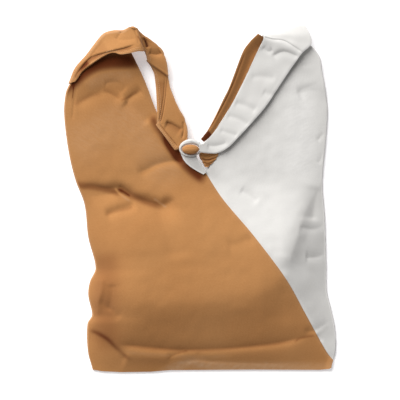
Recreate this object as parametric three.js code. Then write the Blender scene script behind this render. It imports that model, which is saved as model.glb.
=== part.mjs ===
// A knotted shoulder bag of cotton canvas in two colours, empty and lying on its back.
// A tan cloth wraps the left side and a white cloth the right side. They are sewn along one diagonal
// in front, one behind and the bottom edge. Each cloth rises to a peak beside the V-shaped mouth,
// a strap is folded over each peak, and the two straps are tied in a knot over the foot of the V.
// Millimetres. X runs across the bag, +Y from the bottom edge to the straps, +Z up from the surface.
import * as THREE from "three";

// Driving dimensions
const bagWidth = 396; // between the side folds where the bag is widest
const bagLength = 507; // from the bottom edge to the tops of the folded straps
const bodyHeight = 30; // height of the front cloth over the middle of the bag
const mouthHeight = 13; // height of the front cloth at the foot of the V
const peakHeight = 9; // height of the front cloth at the peaks
const canvasThickness = 1.5; // one wall of the bag
const strapThickness = 2.4; // a strap, which is folded and sewn double
const facingThickness = 1.5; // the tan facing under the white strap
const strapWidth = 40; // the tied strap, folded lengthwise
const liftHeight = 6; // how far a strap's loose stretches stand off what they lie on
const foldRadius = 2.2; // radius of the cloth's turn at the side folds
const sideSlopeLength = 90; // from a side fold in to where the front cloth is level
const sideSlopePower = 2.5; // how much sooner than evenly the front cloth rises on that length
const bottomSlopeLength = 112; // from the bottom edge up to where the front cloth is level
const bottomSlopePower = 1.6; // how much sooner than evenly it rises there
const foldOpenLength = 42; // from the bottom edge up to where the side folds have their full radius
const peakRampLength = 30; // over which the back cloth climbs onto the straps' sewn ends
const cornerLength = 3; // the least a cloth runs past a side fold, in the bottom corners
const seamGap = 0.5; // between two cloths that meet edge to edge
const layGap = 0.5; // between two cloths that lie on each other
const slopeGap = 0.15; // added above the front cloth for its slopes
const creaseDepth = 5; // the deepest crease in the front cloth
const creaseWidth = 20; // half the width of a broad crease
const eyeWidth = 26; // the eye of the knot, across the bag
const eyeLength = 15.4; // the eye of the knot, along the bag
const eyeGap = 0.5; // between the tan cloth in the eye and the roll round it
const rollRadius = 4.5; // the rolled cloth round that eye
const coreHeight = 1.5; // how far the tan cloth stands out of the eye

// The roll is thicker to the right and below than to the left and above, by these shares.
const rollRight = 0.45;
const rollBelow = 0.2;

// The foot of the V, and the middle of the knot, as shares of the bag's width and length.
const vAcross = 0.019;
const vRise = 0.575;
const swellRise = 0.35; // below this the front cloth keeps its full height
const strapRise = 0.833; // the straps' sewn ends start here
const peakRise = 0.91; // above this the front cloth keeps peakHeight
const knotAcross = -0.034;
const knotRise = 0.639;

// The side folds seen from the front. A row for each bend: rise is a share of bagLength from the
// bottom edge, and across a share of bagWidth from the middle.
const leftSide = [
  { rise: 0.0, across: -0.395 },
  { rise: 0.057, across: -0.412 },
  { rise: 0.138, across: -0.414 },
  { rise: 0.164, across: -0.397 },
  { rise: 0.221, across: -0.411 },
  { rise: 0.259, across: -0.405 },
  { rise: 0.299, across: -0.384 },
  { rise: 0.388, across: -0.411 },
  { rise: 0.483, across: -0.425 },
  { rise: 0.552, across: -0.458 },
  { rise: 0.633, across: -0.483 },
  { rise: 0.744, across: -0.5 },
  { rise: 0.8, across: -0.49 },
  { rise: strapRise, across: -0.47 },
  { rise: 0.874, across: -0.44 },
  { rise: peakRise, across: -0.4 },
  { rise: 0.954, across: -0.355 },
];
const rightSide = [
  { rise: 0.0, across: 0.484 },
  { rise: 0.06, across: 0.5 },
  { rise: 0.126, across: 0.498 },
  { rise: 0.184, across: 0.483 },
  { rise: 0.234, across: 0.468 },
  { rise: 0.311, across: 0.466 },
  { rise: 0.445, across: 0.461 },
  { rise: 0.546, across: 0.452 },
  { rise: 0.659, across: 0.464 },
  { rise: 0.751, across: 0.471 },
  { rise: 0.806, across: 0.464 },
  { rise: 0.868, across: 0.45 },
  { rise: 0.901, across: 0.443 },
  { rise: 0.927, across: 0.422 },
  { rise: 0.943, across: 0.4 },
];

// The front seam from the bottom right corner up to the foot of the V.
const frontSeam = [
  { rise: 0.0, across: 0.51 },
  { rise: 0.08, across: 0.449 },
  { rise: 0.165, across: 0.389 },
  { rise: 0.268, across: 0.315 },
  { rise: 0.392, across: 0.197 },
  { rise: 0.497, across: 0.084 },
  { rise: vRise, across: vAcross },
];

// The two edges of the mouth, from the foot of the V to the peaks.
const leftMouth = [
  { rise: vRise, across: vAcross },
  { rise: 0.609, across: -0.036 },
  { rise: 0.667, across: -0.103 },
  { rise: 0.747, across: -0.158 },
  { rise: 0.83, across: -0.199 },
  { rise: 0.882, across: -0.229 },
  { rise: 0.954, across: -0.276 },
];
const rightMouth = [
  { rise: vRise, across: vAcross },
  { rise: 0.624, across: 0.052 },
  { rise: 0.695, across: 0.096 },
  { rise: 0.759, across: 0.14 },
  { rise: 0.833, across: 0.184 },
  { rise: 0.943, across: 0.248 },
];

// Creases and swells of the front cloth, each along a line between two places. Depth is a share of
// creaseDepth, negative where the cloth swells, and width a share of creaseWidth.
const creases = [
  { across: -0.46, rise: 0.753, toAcross: -0.353, toRise: 0.805, depth: 0.6, width: 0.7 },
  { across: -0.353, rise: 0.805, toAcross: -0.176, toRise: 0.7, depth: 0.5, width: 0.9 },
  { across: -0.4, rise: 0.72, toAcross: -0.3, toRise: 0.74, depth: -0.5, width: 1.2 },
  { across: -0.448, rise: 0.534, toAcross: -0.301, toRise: 0.523, depth: 0.9, width: 0.6 },
  { across: -0.301, rise: 0.523, toAcross: -0.1, toRise: 0.488, depth: 1.0, width: 0.7 },
  { across: -0.4, rise: 0.59, toAcross: -0.18, toRise: 0.555, depth: -0.6, width: 0.9 },
  { across: -0.25, rise: 0.215, toAcross: 0.15, toRise: 0.225, depth: -0.5, width: 1.1 },
  { across: 0.15, rise: 0.225, toAcross: 0.29, toRise: 0.285, depth: -0.6, width: 0.9 },
  { across: -0.305, rise: 0.08, toAcross: 0.0, toRise: 0.063, depth: 1.0, width: 0.6 },
  { across: 0.0, rise: 0.063, toAcross: 0.416, toRise: 0.109, depth: 0.9, width: 0.6 },
  { across: -0.411, rise: 0.121, toAcross: -0.294, toRise: 0.037, depth: 0.8, width: 0.5 },
  { across: -0.33, rise: 0.27, toAcross: -0.32, toRise: 0.2, depth: 0.7, width: 0.8 },
  { across: 0.42, rise: 0.53, toAcross: 0.32, toRise: 0.29, depth: -0.5, width: 1.0 },
  { across: 0.44, rise: 0.44, toAcross: 0.41, toRise: 0.32, depth: 0.8, width: 0.8 },
];

// The tan strap, a row for each place along it. The outer edge lies at across and rise, and the cloth
// runs from there at that heading in degrees for a share of strapWidth. Tuck is the share of
// strapWidth that is turned under the peak. Layer is 0 on the ground and 1 on the front cloth, and the
// lifts of both edges are shares of liftHeight.
const tanStrapRows = [
  { across: -0.479, rise: 0.833, heading: -17, width: 0.2, tuck: 0.2, layer: 1, outer: 0, inner: 0 },
  { across: -0.456, rise: 0.874, heading: -22, width: 0.28, tuck: 0.35, layer: 1, outer: 0, inner: 0.1 },
  { across: -0.416, rise: 0.91, heading: -32, width: 0.36, tuck: 0.4, layer: 1, outer: 0, inner: 0.2 },
  { across: -0.383, rise: 0.944, heading: -45, width: 0.48, tuck: 0.4, layer: 1, outer: 0.1, inner: 0.3 },
  { across: -0.354, rise: 0.97, heading: -60, width: 0.66, tuck: 0.4, layer: 1, outer: 0.3, inner: 0.5 },
  { across: -0.319, rise: 0.979, heading: -72, width: 0.72, tuck: 0.36, layer: 1, outer: 0.6, inner: 0.8 },
  { across: -0.281, rise: 0.98, heading: -77, width: 0.64, tuck: 0.3, layer: 1, outer: 1.0, inner: 1.2 },
  { across: -0.253, rise: 0.989, heading: -74, width: 0.7, tuck: 0, layer: 1, outer: 1.3, inner: 1.4 },
  { across: -0.234, rise: 0.986, heading: -73, width: 0.74, tuck: 0, layer: 1, outer: 1.3, inner: 1.3 },
  { across: -0.229, rise: 0.983, heading: -73, width: 0.72, tuck: 0, layer: 1, outer: 0.3, inner: 0.2 },
  { across: -0.206, rise: 0.966, heading: -85, width: 0.62, tuck: 0, layer: 1, outer: 0.2, inner: 0 },
  { across: -0.182, rise: 0.954, heading: -107, width: 0.56, tuck: 0, layer: 1, outer: 0.3, inner: 0 },
  { across: -0.157, rise: 0.939, heading: -135, width: 0.56, tuck: 0, layer: 1, outer: 0.4, inner: 0.1 },
  { across: -0.136, rise: 0.918, heading: -163, width: 0.62, tuck: 0, layer: 1, outer: 0.4, inner: 0.15 },
  { across: -0.123, rise: 0.888, heading: -192, width: 0.73, tuck: 0, layer: 1, outer: 0.3, inner: 0.2 },
  { across: -0.118, rise: 0.862, heading: -210, width: 0.86, tuck: 0, layer: 1, outer: 0.1, inner: 0.2 },
  { across: -0.117, rise: 0.852, heading: -215, width: 0.94, tuck: 0, layer: 1, outer: 0, inner: 0.1 },
  { across: -0.117, rise: 0.847, heading: -215, width: 0.79, tuck: 0, layer: 1, outer: -0.9, inner: -0.75 },
  { across: -0.113, rise: 0.83, heading: -212, width: 0.64, tuck: 0, layer: 1, outer: -0.9, inner: -1.0 },
  { across: -0.108, rise: 0.812, heading: -190, width: 0.54, tuck: 0, layer: 1, outer: -0.7, inner: -0.8 },
  { across: -0.093, rise: 0.783, heading: -175, width: 0.65, tuck: 0, layer: 1, outer: -0.3, inner: 0.1 },
  { across: -0.074, rise: 0.752, heading: -175, width: 0.79, tuck: 0, layer: 1, outer: -0.2, inner: 0.5 },
  { across: -0.057, rise: 0.724, heading: -170, width: 1.0, tuck: 0, layer: 1, outer: -0.2, inner: 0.4 },
  { across: -0.047, rise: 0.698, heading: -166, width: 0.9, tuck: 0, layer: 1, outer: -0.2, inner: 0.3 },
  { across: -0.046, rise: 0.679, heading: -156, width: 0.64, tuck: 0, layer: 1, outer: -0.1, inner: 0.2 },
  { across: -0.046, rise: 0.667, heading: -147, width: 0.4, tuck: 0, layer: 1, outer: 0.2, inner: 0.2 },
  { across: -0.049, rise: 0.662, heading: -143, width: 0.33, tuck: 0, layer: 1, outer: 0.3, inner: 0.3 },
];

// The white strap, from its end sewn under the right peak, over the top and down to the knot.
const whiteStrapRows = [
  { across: 0.262, rise: 0.905, heading: 9, width: 1.3, layer: 0, outer: 0, inner: 0 },
  { across: 0.236, rise: 0.955, heading: 10, width: 1.42, layer: 0, outer: 0, inner: 0 },
  { across: 0.229, rise: 0.968, heading: 13, width: 1.55, layer: 0.12, outer: 0, inner: 0 },
  { across: 0.228, rise: 0.971, heading: 13, width: 1.57, layer: 0.55, outer: 0, inner: 0 },
  { across: 0.229, rise: 0.968, heading: 1, width: 1.72, layer: 0.95, outer: 0.2, inner: 0.1 },
  { across: 0.231, rise: 0.966, heading: -10, width: 1.78, layer: 1, outer: 0.5, inner: 0.3 },
  { across: 0.235, rise: 0.96, heading: -21, width: 1.5, layer: 1, outer: 0.9, inner: 0.8 },
  { across: 0.222, rise: 0.936, heading: -21, width: 1.42, layer: 1, outer: 0.6, inner: 0.8 },
  { across: 0.206, rise: 0.911, heading: -21, width: 1.36, layer: 1, outer: 0.3, inner: 0.7 },
  { across: 0.177, rise: 0.862, heading: -24, width: 1.24, layer: 1, outer: 0.1, inner: 0.6 },
  { across: 0.14, rise: 0.802, heading: -25, width: 1.12, layer: 1, outer: 0, inner: 0.6 },
  { across: 0.103, rise: 0.75, heading: -23, width: 0.98, layer: 1, outer: 0, inner: 0.5 },
  { across: 0.067, rise: 0.706, heading: -23, width: 0.86, layer: 1, outer: 0.1, inner: 0.4 },
  { across: 0.04, rise: 0.678, heading: -32, width: 0.76, layer: 1, outer: 0.2, inner: 0.3 },
  { across: 0.022, rise: 0.663, heading: -45, width: 0.6, layer: 1, outer: 0, inner: 0 },
  { across: 0.012, rise: 0.652, heading: -55, width: 0.42, layer: 1, outer: 0, inner: 0 },
];

// The tan facing under the white strap, which shows along the strap's inner edge.
const facingRows = [
  { across: 0.213, rise: 0.97, heading: -62, width: 0.3, layer: 1, outer: 0.3, inner: 0.1 },
  { across: 0.199, rise: 0.96, heading: -42, width: 0.8, layer: 1, outer: 0.1, inner: 0 },
  { across: 0.182, rise: 0.946, heading: -34, width: 1.05, layer: 1, outer: -0.1, inner: 0 },
  { across: 0.157, rise: 0.918, heading: -32, width: 1.1, layer: 1, outer: -0.1, inner: 0 },
  { across: 0.127, rise: 0.857, heading: -25, width: 0.94, layer: 1, outer: -0.1, inner: 0 },
  { across: 0.108, rise: 0.817, heading: -25, width: 0.86, layer: 1, outer: -0.1, inner: 0 },
  { across: 0.08, rise: 0.773, heading: -26, width: 0.75, layer: 1, outer: -0.1, inner: 0 },
  { across: 0.057, rise: 0.733, heading: -25, width: 0.64, layer: 1, outer: -0.1, inner: 0 },
  { across: 0.036, rise: 0.702, heading: -27, width: 0.56, layer: 1, outer: -0.1, inner: 0 },
  { across: 0.016, rise: 0.68, heading: -34, width: 0.5, layer: 1, outer: 0, inner: 0 },
  { across: 0.004, rise: 0.668, heading: -42, width: 0.4, layer: 1, outer: 0, inner: 0 },
];

// The free ends below the knot.
const tanTailRows = [
  { across: 0.0, rise: 0.631, heading: 3, width: 0.62, layer: 1, outer: 0, inner: 0 },
  { across: -0.003, rise: 0.621, heading: 3, width: 0.69, layer: 1, outer: 0, inner: 0 },
  { across: 0.008, rise: 0.606, heading: 2, width: 0.46, layer: 1, outer: 0, inner: 0 },
  { across: 0.017, rise: 0.593, heading: 5, width: 0.2, layer: 1, outer: 0, inner: 0 },
  { across: 0.022, rise: 0.588, heading: 5, width: 0.08, layer: 1, outer: 0, inner: 0 },
];
const whiteTailRows = [
  { across: -0.066, rise: 0.621, heading: 4, width: 0.5, layer: 1, outer: 0, inner: 0 },
  { across: -0.055, rise: 0.605, heading: 12, width: 0.5, layer: 1, outer: -0.05, inner: -0.05 },
  { across: -0.036, rise: 0.591, heading: 16, width: 0.45, layer: 1, outer: -0.15, inner: -0.15 },
  { across: -0.011, rise: 0.578, heading: 22, width: 0.33, layer: 1, outer: -0.25, inner: -0.25 },
  { across: 0.013, rise: 0.568, heading: 34, width: 0.2, layer: 1, outer: -0.33, inner: -0.33 },
];

// How finely the cloths are divided
const rowsBelowMouth = 20;
const rowsAboveMouth = 13;
const frontColumns = 16;
const backColumns = 4;
const foldAngles = [0.9, 0, -0.9];
const strapColumns = 8;
const facingColumns = 3;
const tuckColumns = 2;
const strapSteps = 2;
const rollSides = 10;
const rollSteps = 28;
const coreSides = 20;
const coreRows = 12;

// Shared arithmetic
const lerp = THREE.MathUtils.lerp;
const clamp = THREE.MathUtils.clamp;
const smooth = (value, low, high) => THREE.MathUtils.smoothstep(value, low, high);
const yOf = (rise) => (rise - 0.5) * bagLength;
const riseOf = (y) => y / bagLength + 0.5;

// The x of a line in a table at some rise, on a smooth curve through the table's rows.
function xOn(table, rise) {
  const last = table.length - 2;
  let i = 0;
  while (i < last && table[i + 1].rise < rise) i += 1;
  const a = table[i];
  const b = table[i + 1];
  const before = table[Math.max(i - 1, 0)];
  const after = table[Math.min(i + 2, table.length - 1)];
  const span = b.rise - a.rise;
  const slopeA = ((b.across - before.across) / (b.rise - before.rise)) * span;
  const slopeB = ((after.across - a.across) / (after.rise - a.rise)) * span;
  const t = clamp((rise - a.rise) / span, 0, 1);
  const across =
    a.across * (1 + 2 * t) * (1 - t) ** 2 +
    slopeA * t * (1 - t) ** 2 +
    b.across * t * t * (3 - 2 * t) +
    slopeB * t * t * (t - 1);
  return across * bagWidth;
}

// The back cloth's middle surface lies flat, and climbs onto the straps' ends at the peaks.
function backHeight(rise) {
  const foot = 0.5 * canvasThickness;
  const climb = strapThickness + layGap;
  const climbEnd = strapRise * bagLength;
  return foot + climb * smooth(rise * bagLength, climbEnd - peakRampLength, climbEnd);
}

// The side folds close to a flat seam at the bottom edge.
function turnRadius(rise) {
  const closed = (canvasThickness + layGap) / 2;
  return lerp(closed, Math.max(foldRadius, closed), smooth(rise * bagLength, 0, foldOpenLength));
}

// The x of the centre of the side fold's turn, on the left (-1) or right (+1).
function foldCentre(side, rise) {
  const edge = side < 0 ? xOn(leftSide, rise) : xOn(rightSide, rise);
  return edge - side * (turnRadius(rise) + canvasThickness / 2);
}

// How far a place lies from a crease's line, and how much of the crease is left there.
function creaseAt(crease, x, y) {
  const from = new THREE.Vector2(crease.across * bagWidth, yOf(crease.rise));
  const to = new THREE.Vector2(crease.toAcross * bagWidth, yOf(crease.toRise));
  const along = to.clone().sub(from);
  const place = new THREE.Vector2(x, y);
  const share = clamp(place.clone().sub(from).dot(along) / along.lengthSq(), 0, 1);
  const distance = place.distanceTo(from.addScaledVector(along, share));
  const width = crease.width * creaseWidth;
  return crease.depth * creaseDepth * Math.exp(-((distance / width) ** 2));
}

// The middle surface of the front cloth. It swells in from the side folds and the bottom edge, sinks
// towards the mouth, and holds the creases. It also runs on across the open V.
function frontHeight(x, y) {
  const rise = clamp(riseOf(y), 0, 1);
  const inset = Math.max(0, Math.min(x - foldCentre(-1, rise), foldCentre(1, rise) - x));
  const fromSide = 1 - (1 - clamp(inset / sideSlopeLength, 0, 1)) ** sideSlopePower;
  const fromBottom = 1 - (1 - clamp((rise * bagLength) / bottomSlopeLength, 0, 1)) ** bottomSlopePower;
  const toMouth = lerp(bodyHeight, mouthHeight, smooth(rise, swellRise, vRise));
  const crest = lerp(toMouth, peakHeight, smooth(rise, vRise, peakRise));
  const base = backHeight(rise) + 2 * turnRadius(rise);
  const hollow = creases.reduce((sum, crease) => sum + creaseAt(crease, x, y), 0);
  const share = fromSide * fromBottom;
  return base + Math.max(0, crest - base) * share - hollow * share;
}

// The upper face of the front cloth, where a strap lies on it.
const frontTop = (x, y) => frontHeight(x, y) + canvasThickness / 2 + slopeGap;

// A closed wall made from rows of points on its middle surface, half its thickness to either side.
function clothWall(rows, thickness) {
  const rowCount = rows.length;
  const columnCount = rows[0].length;
  const position = [];
  const index = [];
  const upper = (r, c) => 2 * (r * columnCount + c);
  const lower = (r, c) => upper(r, c) + 1;
  const quad = (a, b, c, d) => index.push(a, b, c, a, c, d);
  for (let r = 0; r < rowCount; r += 1) {
    for (let c = 0; c < columnCount; c += 1) {
      const alongRow = rows[r][Math.min(c + 1, columnCount - 1)].clone().sub(rows[r][Math.max(c - 1, 0)]);
      const acrossRows = rows[Math.min(r + 1, rowCount - 1)][c].clone().sub(rows[Math.max(r - 1, 0)][c]);
      const normal = alongRow.cross(acrossRows).setLength(thickness / 2);
      const middle = rows[r][c];
      position.push(...middle.clone().add(normal).toArray(), ...middle.clone().sub(normal).toArray());
    }
  }
  for (let r = 0; r + 1 < rowCount; r += 1) {
    for (let c = 0; c + 1 < columnCount; c += 1) {
      quad(upper(r, c), upper(r, c + 1), upper(r + 1, c + 1), upper(r + 1, c));
      quad(lower(r, c), lower(r + 1, c), lower(r + 1, c + 1), lower(r, c + 1));
    }
  }
  const lastRow = rowCount - 1;
  const lastColumn = columnCount - 1;
  for (let c = 0; c < lastColumn; c += 1) {
    quad(upper(0, c), lower(0, c), lower(0, c + 1), upper(0, c + 1));
    quad(upper(lastRow, c), upper(lastRow, c + 1), lower(lastRow, c + 1), lower(lastRow, c));
  }
  for (let r = 0; r < lastRow; r += 1) {
    quad(upper(r, 0), upper(r + 1, 0), lower(r + 1, 0), lower(r, 0));
    quad(upper(r, lastColumn), lower(r, lastColumn), lower(r + 1, lastColumn), upper(r + 1, lastColumn));
  }
  const geometry = new THREE.BufferGeometry();
  geometry.setAttribute("position", new THREE.Float32BufferAttribute(position, 3));
  geometry.setIndex(index);
  geometry.computeVertexNormals();
  return geometry;
}

// The seam behind the bag runs to the other bottom corner, as the front one does seen from behind.
function backSeamX(rise) {
  const foot = xOn(leftSide, 0);
  const middle = vAcross * bagWidth;
  const share = (xOn(frontSeam, rise) - middle) / (xOn(frontSeam, 0) - middle);
  return lerp(middle, foot, share);
}

// One of the two cloths of the bag as rows of points. Each row starts at the cloth's front edge, on
// the seam or the mouth, goes round the side fold, and ends at its edge behind.
function sideCloth(side) {
  const outline = side < 0 ? leftSide : rightSide;
  const mouth = side < 0 ? leftMouth : rightMouth;
  const topRise = outline[outline.length - 1].rise;
  const rises = [];
  for (let i = 0; i < rowsBelowMouth; i += 1) rises.push((vRise * i) / rowsBelowMouth);
  for (let i = 0; i <= rowsAboveMouth; i += 1) rises.push(lerp(vRise, topRise, i / rowsAboveMouth));
  return rises.map((rise) => {
    const y = yOf(rise);
    const radius = turnRadius(rise);
    const centreX = foldCentre(side, rise);
    const centreZ = backHeight(rise) + radius;
    const corner = centreX - side * cornerLength;
    const keepOff = (x) => (side < 0 ? Math.max(x, corner) : Math.min(x, corner));
    const frontEdge = rise < vRise ? xOn(frontSeam, rise) : xOn(mouth, rise);
    const backEdge = rise < vRise ? backSeamX(rise) : xOn(mouth, rise);
    const otherCorner = foldCentre(-side, rise) + side * cornerLength;
    const within = (x) => (side < 0 ? Math.min(x, otherCorner) : Math.max(x, otherCorner));
    const frontX = keepOff(within(frontEdge) + (side * seamGap) / 2);
    const backX = keepOff(within(backEdge) + (side * seamGap) / 2);
    const row = [];
    for (let c = 0; c <= frontColumns; c += 1) {
      const x = lerp(frontX, centreX, 1 - (1 - c / frontColumns) ** 1.5);
      row.push(new THREE.Vector3(x, y, frontHeight(x, y)));
    }
    for (const angle of foldAngles) {
      const x = centreX + side * radius * Math.cos(angle);
      row.push(new THREE.Vector3(x, y, centreZ + radius * Math.sin(angle)));
    }
    for (let c = 0; c <= backColumns; c += 1) {
      row.push(new THREE.Vector3(lerp(centreX, backX, c / backColumns), y, backHeight(rise)));
    }
    return side < 0 ? row.reverse() : row;
  });
}

// A strap's or tail's rows of points. Stack is what lies between the front cloth and this one.
function strapRows(table, thickness, stack, columns) {
  const ground = thickness / 2;
  const rows = table.map((spec) => {
    const outer = new THREE.Vector2(spec.across * bagWidth, yOf(spec.rise));
    const angle = THREE.MathUtils.degToRad(spec.heading);
    const inward = new THREE.Vector2(Math.cos(angle), Math.sin(angle));
    const width = spec.width * strapWidth;
    const place = (distance, layer, lift) => {
      const spot = outer.clone().addScaledVector(inward, distance);
      const laid = frontTop(spot.x, spot.y) + layGap + stack + thickness / 2;
      const height = lerp(ground, laid, layer) + lift * liftHeight;
      return new THREE.Vector3(spot.x, spot.y, Math.max(ground, height));
    };
    const row = [];
    if (spec.tuck) {
      for (let c = 0; c <= tuckColumns; c += 1) {
        row.push(place(lerp(spec.tuck * strapWidth, thickness, c / tuckColumns), 0, 0));
      }
      row.push(place(0, 0.5, spec.outer / 2));
    }
    const first = row.length;
    const start = spec.tuck ? thickness : 0;
    for (let c = first; c <= columns; c += 1) {
      const share = (c - first) / (columns - first);
      row.push(place(lerp(start, width, share), spec.layer, lerp(spec.outer, spec.inner, share)));
    }
    return row;
  });
  const curves = rows[0].map((_, c) => new THREE.CatmullRomCurve3(rows.map((row) => row[c])));
  const count = (rows.length - 1) * strapSteps;
  const between = (i) => curves.map((curve) => curve.getPoint(i / count));
  const finer = Array.from({ length: count + 1 }, (_, i) => between(i));
  for (const point of finer.flat()) point.setZ(Math.max(ground, point.z));
  return finer;
}

// The cloths' colours
const tanCanvas = new THREE.MeshStandardMaterial({ color: 0xc4894e, roughness: 0.85, metalness: 0 });
const whiteCanvas = new THREE.MeshStandardMaterial({ color: 0xe9e7e2, roughness: 0.85, metalness: 0 });

function piece(name, geometry, material) {
  const mesh = new THREE.Mesh(geometry, material);
  mesh.name = name;
  return mesh;
}

const bag = new THREE.Group();
bag.add(piece("tan_body", clothWall(sideCloth(-1), canvasThickness), tanCanvas));
bag.add(piece("white_body", clothWall(sideCloth(1), canvasThickness), whiteCanvas));

// The straps lie on the front cloth, the white one on its facing.
const strapStack = facingThickness + layGap;
const tanStrap = strapRows(tanStrapRows, strapThickness, 0, strapColumns);
const whiteStrap = strapRows(whiteStrapRows, strapThickness, strapStack, strapColumns);
const facing = strapRows(facingRows, facingThickness, 0, facingColumns);
bag.add(piece("tan_strap", clothWall(tanStrap, strapThickness), tanCanvas));
bag.add(piece("white_strap", clothWall(whiteStrap, strapThickness), whiteCanvas));
bag.add(piece("white_strap_facing", clothWall(facing, facingThickness), tanCanvas));

// The free ends come out under the knot. The white one droops to the front cloth, and the tan one lies
// on it, under the end of the white strap.
const tanTail = strapRows(tanTailRows, facingThickness, 0, facingColumns);
const whiteTail = strapRows(whiteTailRows, strapThickness, strapStack, facingColumns);
bag.add(piece("tan_tail", clothWall(tanTail, facingThickness), tanCanvas));
bag.add(piece("white_tail", clothWall(whiteTail, strapThickness), whiteCanvas));

// The knot: rolled white cloth round an eye, and the tan cloth that comes up through it. The roll lies
// on the ends of the straps and of the white tail.
const knotX = knotAcross * bagWidth;
const knotY = yOf(knotRise);
const knotZ = frontTop(knotX, knotY) + strapStack + strapThickness + 2 * layGap;
const loop = new THREE.TorusGeometry(eyeWidth, rollRadius, rollSides, rollSteps);
const loopPosition = loop.attributes.position;
for (let i = 0; i < loopPosition.count; i += 1) {
  const x = loopPosition.getX(i);
  const y = loopPosition.getY(i);
  const around = Math.atan2(y, x);
  const thicker = 1 + rollRight * Math.cos(around) - rollBelow * Math.sin(around);
  const outward = (Math.hypot(x, y) - eyeWidth + rollRadius) * thicker;
  loopPosition.setX(i, (eyeWidth / 2 + outward) * Math.cos(around));
  loopPosition.setY(i, (eyeLength / 2 + outward) * Math.sin(around));
  loopPosition.setZ(i, (loopPosition.getZ(i) + rollRadius) * thicker);
}
loop.computeVertexNormals();
const knotLoop = piece("knot_loop", loop, whiteCanvas);
knotLoop.position.set(knotX, knotY, knotZ);
bag.add(knotLoop);

const core = new THREE.SphereGeometry(1, coreSides, coreRows);
core.rotateX(Math.PI / 2);
core.scale(eyeWidth / 2 - eyeGap, eyeLength / 2 - eyeGap, rollRadius + coreHeight);
const knotCore = piece("knot_core", core, tanCanvas);
knotCore.position.set(knotX, knotY, knotZ + rollRadius);
bag.add(knotCore);

export default bag;
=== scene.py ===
import math
import bpy
import numpy as np
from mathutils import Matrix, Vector


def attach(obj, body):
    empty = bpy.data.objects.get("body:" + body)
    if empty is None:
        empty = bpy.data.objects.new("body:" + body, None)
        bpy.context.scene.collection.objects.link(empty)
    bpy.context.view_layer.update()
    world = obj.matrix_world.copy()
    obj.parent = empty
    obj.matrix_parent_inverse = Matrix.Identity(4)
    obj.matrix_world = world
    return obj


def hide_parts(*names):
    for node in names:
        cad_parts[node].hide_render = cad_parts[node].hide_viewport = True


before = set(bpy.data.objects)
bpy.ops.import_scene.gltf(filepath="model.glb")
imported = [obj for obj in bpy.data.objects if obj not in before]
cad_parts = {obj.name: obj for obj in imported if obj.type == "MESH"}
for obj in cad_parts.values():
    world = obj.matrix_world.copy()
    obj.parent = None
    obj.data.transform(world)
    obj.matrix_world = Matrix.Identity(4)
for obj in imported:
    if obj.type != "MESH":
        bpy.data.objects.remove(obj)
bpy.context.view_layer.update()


# The tan cloth of the bag: plain-woven cotton canvas over the left of the front, round the left side
# fold and a little way behind, sewn to the white cloth along the diagonal. The bag lies empty, so it
# swells a little with air, and it is wrinkled where it was carried and folded.
bag_width = 0.396  # between the side folds where the bag is widest
bag_length = 0.507  # from the bottom edge to the tops of the folded straps
body_height = 0.030  # how high the middle of the front cloth stands
mouth_height = 0.013  # how high it stands at the foot of the V
peak_height = 0.009  # how high it stands under the turns of the straps
canvas_thickness = 0.0015
strap_thickness = 0.0024  # a strap, which is folded and sewn double
lay_gap = 0.0005  # between cloths that lie on each other
v_across = 0.019  # the foot of the V, as a share of the width from the middle
v_rise = 0.575  # and as a share of the length from the bottom edge
strap_rise = 0.833  # where the left strap begins, as a share of the length
strap_climb = 0.059  # the share over which the back rises onto the straps
fold_radius = 0.0022  # of the cloth's turn at the side folds
fold_open_length = 0.042  # from the bottom edge up to where the side folds have their full radius
corner_reach = 0.003  # the least a cloth runs past a side fold, in the bottom corners

# How the front cloth slopes up: how far in it is level, and how sharply it bends to level there.
side_slope = dict(length=0.090, power=2.5)
right_slope = dict(length=0.062, power=1.4)
bottom_power = 1.3
level_bend = 0.006
mouth_fall_from = 0.35  # where the cloth begins to sink towards the V
peak_fall_to = 0.91  # where it has sunk to the peaks' height
right_near = 0.10  # the right slope rules this near to the right fold
right_far = 0.14  # and no longer this far from it
right_low = 0.5  # it rules below this share of the length
right_high = 0.62  # and no longer above this one

# How long the slope up from the bottom edge is, at shares of the width.
slope_at = [-0.3, -0.257, 0.055, 0.228, 0.305, 0.5]
slope_lengths = [0.096, 0.100, 0.108, 0.122, 0.145, 0.150]

# The outlines, as (rise, across): shares of the length from the bottom edge, and of the width
# from the middle.
left_side = [
    (0.0, -0.395), (0.057, -0.412), (0.138, -0.414), (0.164, -0.397), (0.221, -0.411),
    (0.259, -0.405), (0.299, -0.384), (0.388, -0.411), (0.483, -0.425), (0.552, -0.458),
    (0.633, -0.483), (0.744, -0.5), (0.8, -0.494), (0.822, -0.483), (0.833, -0.472),
    (0.874, -0.44), (0.91, -0.4), (0.954, -0.355)]
right_side = [
    (0.0, 0.484), (0.06, 0.5), (0.126, 0.498), (0.184, 0.483), (0.234, 0.468),
    (0.311, 0.466), (0.445, 0.461), (0.546, 0.452), (0.659, 0.464), (0.751, 0.471),
    (0.806, 0.464), (0.868, 0.45), (0.901, 0.443), (0.927, 0.422), (0.943, 0.4)]
front_seam = [
    (0.0, 0.51), (0.08, 0.449), (0.165, 0.389), (0.268, 0.315), (0.392, 0.197),
    (0.497, 0.084), (0.575, 0.019)]
left_mouth = [
    (0.575, 0.019), (0.609, -0.036), (0.667, -0.103), (0.747, -0.158), (0.83, -0.199),
    (0.882, -0.229), (0.954, -0.276)]
right_mouth = [
    (0.575, 0.019), (0.624, 0.052), (0.695, 0.096), (0.759, 0.14), (0.833, 0.184),
    (0.943, 0.248)]

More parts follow.
